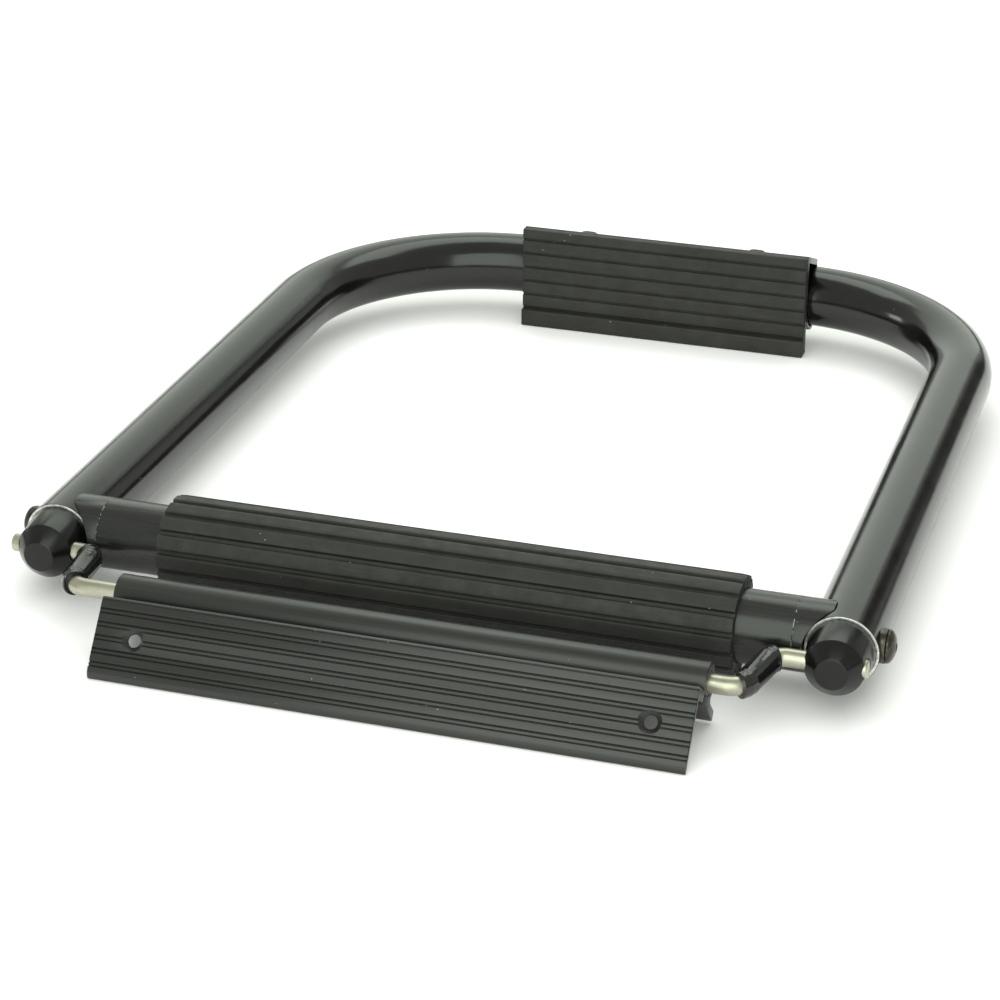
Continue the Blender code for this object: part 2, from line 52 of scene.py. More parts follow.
MOUNTS = {mount["name"]: mount for mount in frame["record"]["mounts"]}
JOURNAL = Vector(JOINTS["crank_hinge"]["pos_m"])
BORE = Vector(JOINTS["bracket_hinge"]["pos_m"])
JOURNAL_AHEAD = 0.012
LEG_ENDS = {"left": -0.0007, "right": 0.0}


def turn_x(angle):
    return Matrix.Rotation(angle, 4, "X")


tread_axis = MOUNTS["tread_face"]["axis"]
plate_axis = MOUNTS["plate_back"]["axis"]
reach = BORE - JOURNAL
HOOP = Matrix.Translation(JOURNAL) @ turn_x(math.atan2(-tread_axis[2], -tread_axis[1]))
HOOP = HOOP @ Matrix.Translation((0, JOURNAL_AHEAD, 0))
ROD = Matrix.Translation(JOURNAL) @ turn_x(math.atan2(-reach.z, -reach.y))
# The rod lies a little askew in its holes, the left end higher and further back.
PIVOT = Matrix.Translation((0.15, 0, 0))
SKEW = Matrix.Rotation(-0.0007, 4, "Z") @ Matrix.Rotation(0.0004, 4, "Y")
SKEWED_ROD = ROD @ PIVOT @ SKEW @ PIVOT.inverted()
BRACKET = Matrix.Translation(BORE) @ turn_x(math.atan2(plate_axis[2], plate_axis[1]))

# ---- dimensions, as the CAD has them ------------------------------------------
GAP = 0.0003
TUBE_R = 0.015875
TUBE_WALL = 0.0016
TUBE_SIDES = 112
LATHE_SIDES = 128
LEG_X = 0.176
LEG_LENGTH = 0.3925
BEND_R = 0.100
PLUG_SHANK = 0.012
PLUG_COLLAR_R = 0.01455
PLUG_SHOULDER = (-0.0152, 0.0127)
PLUG_NOSE = (-0.0215, 0.0069)
PLUG_BORE_R = 0.0044
CROSSBAR_BACK = 0.0099
SEAM_X = 0.156
SEAM_GAP = 0.00012
SEAM_HALF = 0.00016
EAR_TRIM = 0.005
SLEEVE_R = 0.0214
SLEEVE_LENGTH = 0.257
SLEEVE_SHIFT = 0.0035
SLEEVE_RIBS = 15
SLEEVE_TURN = math.radians(13.6)
GROOVE_DEPTH = 0.0020
GROOVE_WIDTH = 0.0024
WASHER_R = 0.0074
WASHER_BORE_R = 0.0033
SCREW_SHANK_R = 0.003
SCREW_HEAD_H = 0.0038
SOCKET_R = 0.0021
CUTTER_HALF = 0.03
ROD_R = 0.0040
ROD_TIPS = (-0.1924, 0.1895)
UPPER_ELBOWS = (-0.1540, 0.1504)
LOWER_ELBOWS = (-0.1516, 0.1439)
CRANK = 0.030
ELBOW_R = 0.008
VINYL_R = 0.0057
VINYL_SIDES = 56
ROD_SIDES = 64
BRACKET_LENGTH = 0.258
BRACKET_SHIFT = 0.0018
PLATE_HEIGHT = 0.0352
PLATE_THICK = 0.003
PLATE_GROOVES = 5
PLATE_FIRST_GROOVE = 0.0062
PLATE_GROOVE_PITCH = 0.00575
PLATE_FOOT_R = 0.0060
PLATE_FOOT_DEG = 50.0
HOLE_HALF_SPACING = 0.1116
HOLE_DOWN = 0.0168
HOLE_R = 0.0029
SINK_R = 0.0051
SINK_DEPTH = 0.0020
BORE_BACK = 0.019
BORE_UP = 0.0046
BOSS_R = 0.0088
BORE_R = 0.0055
TREAD_LENGTH = 0.157
TREAD_SHIFT = 0.0035
TREAD_TOP = 0.0284
TREAD_BOTTOM = -0.0268
TREAD_BACK = -0.019
TREAD_FRONT = -0.023
TREAD_GROOVES = 6
TREAD_FIRST_GROOVE = 0.0058
TREAD_PITCH = 0.0079
TREAD_GROOVE_DEPTH = 0.0012
TREAD_LIP_H = 0.0093
CARRIER_FRONT = -0.0187
CARRIER_BACK = -0.0163
HOOK_THICK = 0.0021
ARM_ANGLE = 68.0
ARM_THICK = 0.0036
ARM_END = 0.0065
TREAD_SCREW_X = (-0.0442, 0.0497)
TREAD_SCREW_BACK = 0.0015


# ---- mesh helpers -------------------------------------------------------------
def finish_mesh(name, mesh_data, matrix, mat, sharp=35.0):
    """Turn a bmesh in a local frame into a shaded object in the CAD's frame."""
    bmesh.ops.remove_doubles(mesh_data, verts=mesh_data.verts, dist=1e-7)
    bmesh.ops.recalc_face_normals(mesh_data, faces=mesh_data.faces[:])
    mesh = bpy.data.meshes.new(name)
    mesh_data.to_mesh(mesh)
    mesh_data.free()
    mesh.transform(matrix)
    item = bpy.data.objects.new(name, mesh)
    bpy.context.scene.collection.objects.link(item)
    mesh.shade_smooth()
    mesh.set_sharp_from_angle(angle=math.radians(sharp))
    if mat is not None:
        mesh.materials.append(mat)
    return item


def carve(item, cutters):
    """Cut shapes out of an object and keep the plain mesh."""
    for cutter in cutters:
        step = item.modifiers.new("cut", "BOOLEAN")
        step.operation = "DIFFERENCE"
        step.solver = "EXACT"
        step.object = cutter
    bpy.context.view_layer.update()
    graph = bpy.context.evaluated_depsgraph_get()
    mesh = bpy.data.meshes.new_from_object(item.evaluated_get(graph))
    item.modifiers.clear()
    item.data = mesh
    mesh.shade_smooth()
    mesh.set_sharp_from_angle(angle=math.radians(32.0))
    for cutter in cutters:
        bpy.data.objects.remove(cutter)


def bridge(mesh_data, first, second):
    """Faces between two rings of vertices; a ring of one vertex makes a fan."""
    count = max(len(first), len(second))
    for i in range(count):
        j = (i + 1) % count
        if len(first) == 1:
            mesh_data.faces.new((first[0], second[j], second[i]))
        elif len(second) == 1:
            mesh_data.faces.new((first[i], first[j], second[0]))
        else:
            mesh_data.faces.new((first[i], first[j], second[j], second[i]))


def lofted(rings, closed=False):
    """Join rings of points; a ring may be one point, and a closed loft joins last to first."""
    mesh_data = bmesh.new()
    made = [[mesh_data.verts.new(point) for point in ring] for ring in rings]
    for first, second in zip(made, made[1:]):
        bridge(mesh_data, first, second)
    if closed:
        bridge(mesh_data, made[-1], made[0])
    else:
        for ring in (made[0], made[-1]):
            if len(ring) > 2:
                mesh_data.faces.new(ring)
    return mesh_data


def softened(outline, radius, steps=3, closed=True):
    """Round every corner of a flat outline."""
    points = []
    count = len(outline)
    for i, corner in enumerate(outline):
        corner = Vector(corner)
        if not closed and i in (0, count - 1):
            points.append(tuple(corner))
            continue
        back = Vector(outline[i - 1]) - corner
        ahead = Vector(outline[(i + 1) % count]) - corner
        limit = 0.42 * min(back.length, ahead.length)
        size = min(radius, limit)
        start = corner + back.normalized() * size
        end = corner + ahead.normalized() * size
        for k in range(steps + 1):
            t = k / steps
            points.append(tuple((1 - t) ** 2 * start + 2 * t * (1 - t) * corner + t * t * end))
    return points


def lathe(profile, sides, axis="X", closed=False, radius=0.0):
    """Turn (along, radius) points about an axis, with optional rounded corners."""
    if radius:
        profile = softened(profile, radius, 3, closed)
    rings = []
    for along, r in profile:
        ring = []
        for k in range(sides if r > 1e-6 else 1):
            angle = 2 * math.pi * k / sides
            a = r * math.cos(angle)
            b = r * math.sin(angle)
            ring.append({"X": (along, a, b), "Y": (a, along, b), "Z": (a, b, along)}[axis])
        rings.append(ring)
    return lofted(rings, closed)


def cylinder(start, end, radius, sides, axis="X"):
    return lathe([(start, 0), (start, radius), (end, radius), (end, 0)], sides, axis)


def offset_outline(outline, amount):
    """Move an outline's points inwards along their normals, whichever way it runs."""
    area = sum(a[0] * b[1] - b[0] * a[1] for a, b in zip(outline, outline[1:] + outline[:1]))
    sign = 1.0 if area > 0 else -1.0
    moved = []
    count = len(outline)
    for i, point in enumerate(outline):
        before = Vector(outline[i - 1])
        after = Vector(outline[(i + 1) % count])
        along = (after - before).normalized()
        moved.append((point[0] - sign * along.y * amount, point[1] + sign * along.x * amount))
    return moved


def extruded(outline, x_start, x_end, edge=0.00025, stations=1, wobble=None):
    """Extrude a (y, z) outline along X with broken end edges."""
    inset = offset_outline(outline, edge)
    half = offset_outline(outline, 0.3 * edge)
    rings = [(x_start, inset), (x_start + 0.3 * edge, half)]
    for k in range(stations + 1):
        x = x_start + edge + (x_end - x_start - 2 * edge) * k / stations
        rings.append((x, outline))
    rings += [(x_end - 0.3 * edge, half), (x_end, inset)]
    points = []
    for x, ring in rings:
        row = []
        for y, z in ring:
            place = Vector((x, y, z))
            row.append(wobble(place) if wobble else place)
        points.append(row)
    return lofted(points)


def rounded_path(corners, radius, steps):
    """A polyline in the XY plane with its inner corners turned into arcs."""
    points = [Vector(corners[0])]
    for before, corner, after in zip(corners, corners[1:], corners[2:]):
        corner = Vector(corner)
        back = (Vector(before) - corner).normalized()
        ahead = (Vector(after) - corner).normalized()
        half = back.angle(ahead) / 2
        centre = corner + (back + ahead).normalized() * radius / math.sin(half)
        start = corner + back * radius / math.tan(half) - centre
        sweep = math.pi - 2 * half
        turn = 1.0 if back.cross(ahead).z < 0 else -1.0
        for k in range(steps + 1):
            spin = Matrix.Rotation(turn * sweep * k / steps, 3, "Z")
            points.append(centre + spin @ start)
    points.append(Vector(corners[-1]))
    return points


def path_frames(path):
    """Point, sideways direction and tangent for each point of a path in the XY plane."""
    frames = []
    for k, point in enumerate(path):
        ahead = path[min(k + 1, len(path) - 1)] - point
        behind = point - path[max(k - 1, 0)]
        tangent = (ahead.normalized() + behind.normalized()).normalized()
        frames.append((point, Vector((-tangent.y, tangent.x, 0.0)), tangent))
    return frames


def tube_rings(frames, radius, sides):
    """Circles of points square to a path."""
    rings = []
    for point, side, _ in frames:
        ring = []
        for j in range(sides):
            angle = 2 * math.pi * j / sides
            ring.append(point + (side * math.cos(angle) + Vector((0, 0, math.sin(angle)))) * radius)
        rings.append(ring)
    return rings


def arc(radius, start_deg, end_deg, steps):
    """Points on a circle about the local origin."""
    points = []
    for k in range(steps + 1):
        angle = math.radians(start_deg + (end_deg - start_deg) * k / steps)
        points.append((radius * math.cos(angle), radius * math.sin(angle)))
    return points


# ---- materials ------------------------------------------------------------------
class Tree:
    """Short-hand for building a node material."""

    def __init__(self, name, colour, roughness, metallic=0.0, **sockets):
        self.mat = bpy.data.materials.new(name)
        self.mat.use_nodes = True
        self.nodes = self.mat.node_tree.nodes
        self.links = self.mat.node_tree.links
        self.shader = self.nodes["Principled BSDF"]
        self.colour = colour
        self.roughness = roughness
        self.shader.inputs["Metallic"].default_value = metallic
        for key, value in sockets.items():
            self.shader.inputs[key.replace("_", " ")].default_value = value
        coords = self.nodes.new("ShaderNodeTexCoord")
        self.place = coords.outputs["Object"]
        self.bumps = None

    def add(self, kind, inputs=None, **props):
        node = self.nodes.new(kind)
        for key, value in props.items():
            setattr(node, key, value)
        for key, value in (inputs or {}).items():
            socket = node.inputs[key]
            if isinstance(value, bpy.types.NodeSocket):
                self.links.new(value, socket)
            else:
                socket.default_value = value
        return node

    def stretched(self, scale):
        return self.add("ShaderNodeMapping", {"Vector": self.place, "Scale": scale}).outputs[0]

    def noise(self, scale, detail=3.0, rough=0.55, vector=None):
        inputs = {"Vector": vector or self.place, "Scale": scale}
        inputs.update({"Detail": detail, "Roughness": rough})
        return self.add("ShaderNodeTexNoise", inputs).outputs["Fac"]

    def remap(self, value, low, high, to_low=0.0, to_high=1.0):
        inputs = {"Value": value, "From Min": low, "From Max": high}
        inputs.update({"To Min": to_low, "To Max": to_high})
        return self.add("ShaderNodeMapRange", inputs).outputs[0]

    def math(self, kind, a, b):
        return self.add("ShaderNodeMath", {0: a, 1: b}, operation=kind).outputs[0]

    def tint(self, fac, second):
        """Mix the base colour towards a second colour."""
        node = self.add("ShaderNodeMix", data_type="RGBA")
        if isinstance(self.colour, tuple):
            node.inputs["A"].default_value = (*self.colour, 1.0)
        else:
            self.links.new(self.colour, node.inputs["A"])
        node.inputs["B"].default_value = (*second, 1.0)
        self.links.new(fac, node.inputs["Factor"])
        self.colour = node.outputs["Result"]

    def specks(self, scale, size, share, second):
        """Sparse bright dust grains."""
        cells = self.add("ShaderNodeTexVoronoi", {"Vector": self.place, "Scale": scale})
        near = self.remap(cells.outputs["Distance"], size, 0.6 * size)
        pick = self.add("ShaderNodeSeparateColor", {0: cells.outputs["Color"]}).outputs[0]
        chosen = self.remap(pick, share, 0.8 * share)
        self.tint(self.math("MULTIPLY", near, chosen), second)

    def bump(self, height, distance):
        """Add relief of a given depth in metres on top of any earlier relief."""
        inputs = {"Height": height, "Distance": distance, "Strength": 1.0}
        if self.bumps is not None:
            inputs["Normal"] = self.bumps
        self.bumps = self.add("ShaderNodeBump", inputs).outputs[0]

    def rough(self, value, low, high):
        """Let a noise drive the roughness between two values."""
        self.roughness = self.remap(value, 0.3, 0.7, low, high)

    def done(self):
        """Connect colour, roughness and relief to the shader."""
        for key, value in (("Base Color", self.colour), ("Roughness", self.roughness)):
            if isinstance(value, bpy.types.NodeSocket):
                self.links.new(value, self.shader.inputs[key])
            elif key == "Base Color":
                self.shader.inputs[key].default_value = (*value, 1.0)
            else:
                self.shader.inputs[key].default_value = value
        if self.bumps is not None:
            self.links.new(self.bumps, self.shader.inputs["Normal"])
        return self.mat


def gloss_paint():
    tree = Tree("gloss_black_paint", (0.0032, 0.0032, 0.0027), 0.13)
    tree.tint(tree.remap(tree.noise(60, 4), 0.45, 0.75), (0.0052, 0.0052, 0.0045))
    tree.specks(260, 0.10, 0.03, (0.16, 0.16, 0.15))
    tree.rough(tree.noise(35, 5, 0.65), 0.13, 0.21)
    tree.bump(tree.noise(140, 2), 0.00004)
    tree.bump(tree.noise(1100, 2), 0.000006)
    return tree.done()


def plug_black():
    tree = Tree("turned_black_plug", (0.0032, 0.0032, 0.0027), 0.2, Specular_IOR_Level=0.34)
    tree.tint(tree.remap(tree.noise(120, 4), 0.5, 0.8), (0.0085, 0.0086, 0.0078))
    lines = tree.noise(1.0, 2, 0.6, tree.stretched((30, 2600, 30)))
    tree.rough(tree.noise(90, 5), 0.17, 0.27)
    tree.bump(lines, 0.00001)
    return tree.done()


def crossbar_black():
    tree = Tree("semigloss_black", (0.0085, 0.0086, 0.0078), 0.26)
    streaks = tree.noise(1.0, 4, 0.6, tree.stretched((18, 700, 700)))
    tree.tint(tree.remap(streaks, 0.45, 0.8), (0.017, 0.017, 0.0155))
    tree.specks(420, 0.09, 0.05, (0.35, 0.35, 0.33))
    tree.rough(streaks, 0.20, 0.33)
    tree.bump(streaks, 0.00002)
    tree.bump(tree.noise(300, 3), 0.00003)
    return tree.done()


def rubber(name, colour, streak):
    tree = Tree(name, colour, 0.6, Specular_IOR_Level=0.42)
    light = tuple(1.7 * c for c in colour)
    tree.tint(tree.remap(tree.noise(70, 6, 0.65), 0.40, 0.75), light)
    lines = tree.noise(1.0, 4, 0.6, tree.stretched(streak))
    tree.tint(tree.remap(lines, 0.55, 0.85), tuple(2.1 * c for c in colour))
    tree.specks(330, 0.085, 0.045, (0.55, 0.55, 0.52))
    tree.specks(900, 0.12, 0.03, (0.20, 0.20, 0.19))
    tree.rough(tree.noise(160, 4), 0.52, 0.70)
    tree.bump(lines, 0.00004)
    tree.bump(tree.noise(1500, 3, 0.6), 0.00004)
    return tree.done()


def anodised():
    tree = Tree("satin_black_extrusion", (0.0085, 0.0086, 0.0074), 0.36, Specular_IOR_Level=0.6)
    streaks = tree.noise(1.0, 4, 0.6, tree.stretched((14, 1100, 1100)))
    tree.tint(tree.remap(streaks, 0.45, 0.8), (0.0150, 0.0150, 0.0132))
    tree.specks(380, 0.085, 0.03, (0.5, 0.5, 0.47))
    tree.rough(streaks, 0.30, 0.42)
    tree.bump(streaks, 0.000025)
    tree.bump(tree.noise(2200, 2), 0.000008)
    return tree.done()


def stainless():
    tree = Tree("stainless_rod", (0.46, 0.445, 0.355), 0.36, 1.0)
    tree.tint(tree.remap(tree.noise(150, 5, 0.6), 0.42, 0.75), (0.34, 0.325, 0.260))
    streaks = tree.noise(1.0, 3, 0.6, tree.stretched((60, 2500, 2500)))
    tree.rough(streaks, 0.30, 0.44)
    tree.bump(streaks, 0.000015)
    return tree.done()


def bare_cut():
    tree = Tree("bare_cut_edge", (0.78, 0.78, 0.75), 0.4, 1.0)
    tree.tint(tree.remap(tree.noise(500, 4, 0.7), 0.45, 0.7), (0.30, 0.30, 0.28))
    tree.rough(tree.noise(700, 3), 0.3, 0.5)
    tree.bump(tree.noise(900, 3), 0.00008)
    return tree.done()


def hairline():
    tree = Tree("hairline_edge", (0.36, 0.36, 0.33), 0.45, 0.6)
    tree.tint(tree.remap(tree.noise(420, 3, 0.7), 0.40, 0.52), (0.02, 0.02, 0.02))
    tree.bump(tree.noise(900, 3), 0.00005)
    return tree.done()


def dark_screw():
    tree = Tree("blackened_screw", (0.045, 0.041, 0.034), 0.28, 0.9)
    tree.tint(tree.remap(tree.noise(450, 4, 0.65), 0.45, 0.75), (0.13, 0.12, 0.10))
    tree.rough(tree.noise(600, 4), 0.24, 0.42)
    tree.bump(tree.noise(1300, 3), 0.00003)
    return tree.done()


def vinyl():
    tree = Tree("glossy_vinyl", (0.006, 0.006, 0.0065), 0.09, Coat_Weight=0.15, Coat_Roughness=0.05)
    tree.rough(tree.noise(300, 4), 0.06, 0.14)
    tree.bump(tree.noise(260, 2), 0.00012)
    return tree.done()


def plain(name, colour, roughness, metallic=0.0):
    tree = Tree(name, colour, roughness, metallic)
    tree.tint(tree.remap(tree.noise(350, 4), 0.4, 0.7), tuple(0.75 * c for c in colour))
    tree.rough(tree.noise(500, 3), 0.8 * roughness, 1.2 * roughness)
    tree.bump(tree.noise(1600, 2), 0.00001)
    return tree.done()


PAINT = gloss_paint()
PLUG = plug_black()
CROSSBAR = crossbar_black()
SLEEVE = rubber("sleeve_rubber", (0.0140, 0.0138, 0.0118), (16, 900, 900))
TREAD = rubber("tread_rubber", (0.0132, 0.0131, 0.0110), (12, 1300, 1300))
EXTRUSION = anodised()
STEEL = stainless()
BARE = bare_cut()
HAIRLINE = hairline()
SCREW = dark_screw()
VINYL = vinyl()
BRASS = plain("brass_insert", (0.60, 0.42, 0.16), 0.35, 1.0)
NYLON = plain("nylon_bush", (0.10, 0.098, 0.088), 0.5)


def place(item, body, slot, *nodes):
    """Hang a piece on the body it rides on and hide the CAD nodes it stands for. The slot argument is not used."""
    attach(item, body)
    if nodes:
        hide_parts(*nodes)


# ---- hoop -----------------------------------------------------------------------
SIDES = (("left", -1), ("right", 1))


def build_hoop_tube():
    corners = [(-LEG_X, LEG_ENDS["left"], 0), (-LEG_X, LEG_LENGTH, 0)]
    corners += [(LEG_X, LEG_LENGTH, 0), (LEG_X, LEG_ENDS["right"], 0)]
    frames = path_frames(rounded_path(corners, BEND_R, 72))
    outer = tube_rings(frames, TUBE_R, TUBE_SIDES)
    lip = [tube_rings(frames, TUBE_R - 0.0003, TUBE_SIDES)[k] for k in (0, -1)]
    inner = tube_rings(frames, TUBE_R - TUBE_WALL, TUBE_SIDES)
    nudge = Vector((0, 0.00025, 0))
    first = [point + nudge for point in outer[0]]
    last = [point + nudge for point in outer[-1]]
    rings = [lip[0], first] + outer[1:-1] + [last, lip[1]] + inner[::-1]
    item = finish_mesh("hoop_tube_skin", lofted(rings, closed=True), HOOP, PAINT, 40)
    place(item, "hoop", "hoop_paint", "hoop_tube")


def build_cut_rings():
    """Bare metal shows where the tube was cut off, round the plug."""
    for name, side in SIDES:
        inner = TUBE_R - TUBE_WALL + 0.0002
        outer = TUBE_R - 0.0002
        profile = [(0.0004, inner), (-0.00025, inner), (-0.00025, outer), (0.0004, outer)]
        ring = lathe(profile, TUBE_SIDES, "Y", closed=True, radius=0.00015)
        bmesh.ops.translate(ring, verts=ring.verts, vec=(side * LEG_X, LEG_ENDS[name], 0))
        item = finish_mesh("leg_cut_ring_" + name, ring, HOOP, BARE, 50)
        place(item, "hoop", "stainless")


def build_plugs():
    for name, side in SIDES:
        insert_r = TUBE_R - TUBE_WALL - GAP
        profile = [
            (PLUG_SHANK, 0), (PLUG_SHANK, insert_r), (-0.0004, insert_r), (-0.0004, PLUG_COLLAR_R),
            PLUG_SHOULDER, PLUG_NOSE, (PLUG_NOSE[0], 0.0),
        ]
        body = lathe(profile, LATHE_SIDES, "Y", radius=0.00035)
        bmesh.ops.translate(body, verts=body.verts, vec=(side * LEG_X, LEG_ENDS[name], 0))
        item = finish_mesh("plug_" + name, body, HOOP, PLUG)
        hole = cylinder(-CUTTER_HALF, CUTTER_HALF, PLUG_BORE_R, ROD_SIDES)
        bmesh.ops.translate(hole, verts=hole.verts, vec=(side * LEG_X, 0, 0))
        carve(item, [finish_mesh("plug_hole", hole, ROD, None)])
        place(item, "hoop", "plug_black", "end_plug_" + name)


def build_crossbar():
    end = SEAM_X - SEAM_GAP
    bore_r = TUBE_R - TUBE_WALL
    tube = [(-end, bore_r), (-end, TUBE_R), (end, TUBE_R), (end, bore_r)]
    tube = lathe(tube, LATHE_SIDES, closed=True, radius=0.0002)
    shift = HOOP @ Matrix.Translation((0, CROSSBAR_BACK, 0))
    item = finish_mesh("crossbar_skin", tube, shift, CROSSBAR)
    place(item, "hoop", "crossbar_finish", "crossbar_tube")
    for name, side in SIDES:
        start = SEAM_X + SEAM_GAP
        profile = [(start, 0), (start, TUBE_R), (LEG_X - EAR_TRIM, TUBE_R), (LEG_X - EAR_TRIM, 0)]
        collar = lathe([(side * x, r) for x, r in profile], LATHE_SIDES, radius=0.0002)
        item = finish_mesh("crossbar_collar_" + name, collar, shift, CROSSBAR)
        leg = cylinder(-CUTTER_HALF, CUTTER_HALF, TUBE_R + GAP, LATHE_SIDES, "Y")
        bmesh.ops.translate(leg, verts=leg.verts, vec=(side * LEG_X, 0, 0))
        carve(item, [finish_mesh("leg_cope", leg, shift, None)])
        place(item, "hoop", "crossbar_finish", "crossbar_end_" + name)
        seam = [(SEAM_X - SEAM_HALF, TUBE_R - 0.0004), (SEAM_X - SEAM_HALF, TUBE_R + 0.00003)]
        seam += [(SEAM_X + SEAM_HALF, TUBE_R + 0.00003), (SEAM_X + SEAM_HALF, TUBE_R - 0.0004)]
        seam = lathe([(side * x, r) for x, r in seam], LATHE_SIDES, closed=True)
        item = finish_mesh("crossbar_seam_" + name, seam, shift, HAIRLINE)
        place(item, "hoop", "stainless")


def build_sleeve():
    """Ribbed rubber sleeve: flat ribs, narrow rounded grooves and slightly uneven cut ends."""
    root = SLEEVE_R - GROOVE_DEPTH
    crown = SLEEVE_R + 0.00003
    half = 0.5 * GROOVE_WIDTH / SLEEVE_R
    pitch = 2 * math.pi / SLEEVE_RIBS
    outline = []
    for k in range(SLEEVE_RIBS):
        middle = math.pi - SLEEVE_TURN - k * pitch
        for radius, offset in (
            (SLEEVE_R, half * 1.12), (root, half * 0.8), (root, -half * 0.8),
            (SLEEVE_R, -half * 1.12), (crown, -pitch * 0.3), (crown, -pitch * 0.7),
        ):
            angle = middle + offset
            outline.append((radius * math.cos(angle), radius * math.sin(angle)))
    outline = softened(outline, 0.00045, 4)
    bore_r = TUBE_R + 0.00015

    def wave(x, point, size):
        sample = Vector((x * 22, point[0] * 160, point[1] * 160))
        return noise.noise(sample) * size

    stations = 90
    outer = []
    for k in range(stations + 1):
        t = k / stations
        x = SLEEVE_LENGTH * (t - 0.5)
        ring = []
        end = min(t, 1 - t) * SLEEVE_LENGTH
        for y, z in outline:
            push = wave(x, (y, z), 0.00010) / SLEEVE_R
            drift = wave(3.0 + math.copysign(1, x), (y, z), 0.00055) if end < 0.004 else 0.0
            pull = 1.0 + push - (0.012 if k in (0, stations) else 0.0)
            ring.append(Vector((x + drift * (1 - end / 0.004), y * pull, z * pull)))
        outer.append(ring)
    inner = []
    for k in (stations, 0):
        ring = []
        for point in outer[k]:
            away = math.hypot(point.y, point.z)
            ring.append(Vector((point.x, point.y * bore_r / away, point.z * bore_r / away)))
        inner.append(ring)
    shift = HOOP @ Matrix.Translation((SLEEVE_SHIFT, CROSSBAR_BACK, 0))
    item = finish_mesh("ribbed_sleeve", lofted(outer + inner, closed=True), shift, SLEEVE, 50)
    place(item, "hoop", "sleeve_rubber", "crossbar_sleeve")


def build_leg_fasteners():
    seat = LEG_X + TUBE_R + GAP + 0.001
    shift = HOOP @ Matrix.Translation((0, CROSSBAR_BACK, 0))
    for name, side in SIDES:
        washer = [(LEG_X + 0.009, WASHER_BORE_R), (LEG_X + 0.009, WASHER_R)]
        washer += [(seat, WASHER_R), (seat, WASHER_BORE_R)]
        washer = lathe([(side * x, r) for x, r in washer], 96, closed=True, radius=0.00025)
        item = finish_mesh("saddle_" + name, washer, shift, SCREW)
        leg = cylinder(-CUTTER_HALF, CUTTER_HALF, TUBE_R + 0.00005, LATHE_SIDES, "Y")
        bmesh.ops.translate(leg, verts=leg.verts, vec=(side * LEG_X, 0, 0))
        carve(item, [finish_mesh("leg_saddle", leg, shift, None)])
        place(item, "hoop", "dark_fastener", "saddle_washer_" + name)
        under = seat + 0.0001
        top = under + SCREW_HEAD_H
        head = [(under - 0.004, 0), (under - 0.004, SCREW_SHANK_R)]
        head += [(under, SCREW_SHANK_R), (under, 0.0070)]
        head += [(under + 0.0007, 0.0072), (under + 0.0016, 0.0068), (under + 0.0026, 0.0056)]
        head += [(under + 0.0034, 0.0038), (top, 0.0022), (top, 0)]
        head = lathe([(side * x, r) for x, r in head], 96, radius=0.0006)
        item = finish_mesh("leg_screw_head_" + name, head, shift, SCREW)
        socket = [(top - 0.0022, 0), (top - 0.0018, SOCKET_R), (top + 0.002, SOCKET_R)]
        socket = lathe(socket + [(top + 0.002, 0)], 6)
        bmesh.ops.scale(socket, vec=(side, 1, 1), verts=socket.verts)
        carve(item, [finish_mesh("hex_socket", socket, shift, None)])
        place(item, "hoop", "dark_fastener", "leg_screw_" + name)


# ---- tread ------------------------------------------------------------------------
def build_tread():
    half = 0.00055
    root = TREAD_FRONT + TREAD_GROOVE_DEPTH
    outline = [(TREAD_BACK, TREAD_TOP), (TREAD_FRONT, TREAD_TOP)]
    for k in range(TREAD_GROOVES):
        z = TREAD_TOP - TREAD_FIRST_GROOVE - k * TREAD_PITCH
        outline += [(TREAD_FRONT, z + half * 1.5), (root, z + half * 0.5), (root, z - half * 0.5)]
        if k < TREAD_GROOVES - 1:
            outline.append((TREAD_FRONT, z - half * 1.5))
    lip_top = TREAD_BOTTOM + TREAD_LIP_H
    outline += [(-0.0252, lip_top), (-0.0255, lip_top - 0.0008), (-0.0255, TREAD_BOTTOM + 0.0008)]
    outline += [(-0.0247, TREAD_BOTTOM), (-0.0163, TREAD_BOTTOM)]
    outline += [(-0.0163, -0.0247), (TREAD_BACK, -0.0247)]
    outline = softened(outline, 0.0006, 4)

    def wobble(point):
        sample = point * 90
        size = 0.00007
        other = noise.noise(sample + Vector((9, 0, 0)))
        return point + Vector((0, noise.noise(sample) * size, other * size))

    place_at = HOOP @ Matrix.Translation((TREAD_SHIFT, LEG_LENGTH, 0))
    end = TREAD_LENGTH / 2
    pad = extruded(outline, -end, end, 0.0004, 50, wobble)
    item = finish_mesh("tread_rubber_pad", pad, place_at, TREAD, 50)
    place(item, "hoop", "tread_rubber", "tread_pad")

    angle = math.radians(ARM_ANGLE)
    under = TUBE_R + GAP
    top = under + ARM_THICK

    def arm_height(y, distance):
        return (distance - math.cos(angle) * y) / math.sin(angle)

    ridge = (top - TREAD_TOP * math.sin(angle)) / math.cos(angle)
    hook_in = TUBE_R + 2 * GAP
    hook_out = hook_in + HOOK_THICK
    hook_root = 180.0 + math.degrees(math.acos(-CARRIER_BACK / hook_out))
    outline = [(CARRIER_FRONT, -0.0244), (CARRIER_FRONT, TREAD_TOP), (ridge, TREAD_TOP)]
    outline += [(ARM_END, arm_height(ARM_END, top)), (ARM_END, arm_height(ARM_END, under))]
    outline += [(CARRIER_BACK, arm_height(CARRIER_BACK, under)), (CARRIER_BACK, -0.006)]
    outline += arc(hook_in, 203.0, 272.0, 24) + arc(hook_out, 272.0, hook_root, 24)
    outline.append((CARRIER_BACK, -0.0244))
    carrier = extruded(softened(outline, 0.0006, 3), -end, end, 0.0003)
    item = finish_mesh("tread_carrier_skin", carrier, place_at, EXTRUSION, 40)
    place(item, "hoop", "extrusion", "tread_carrier")


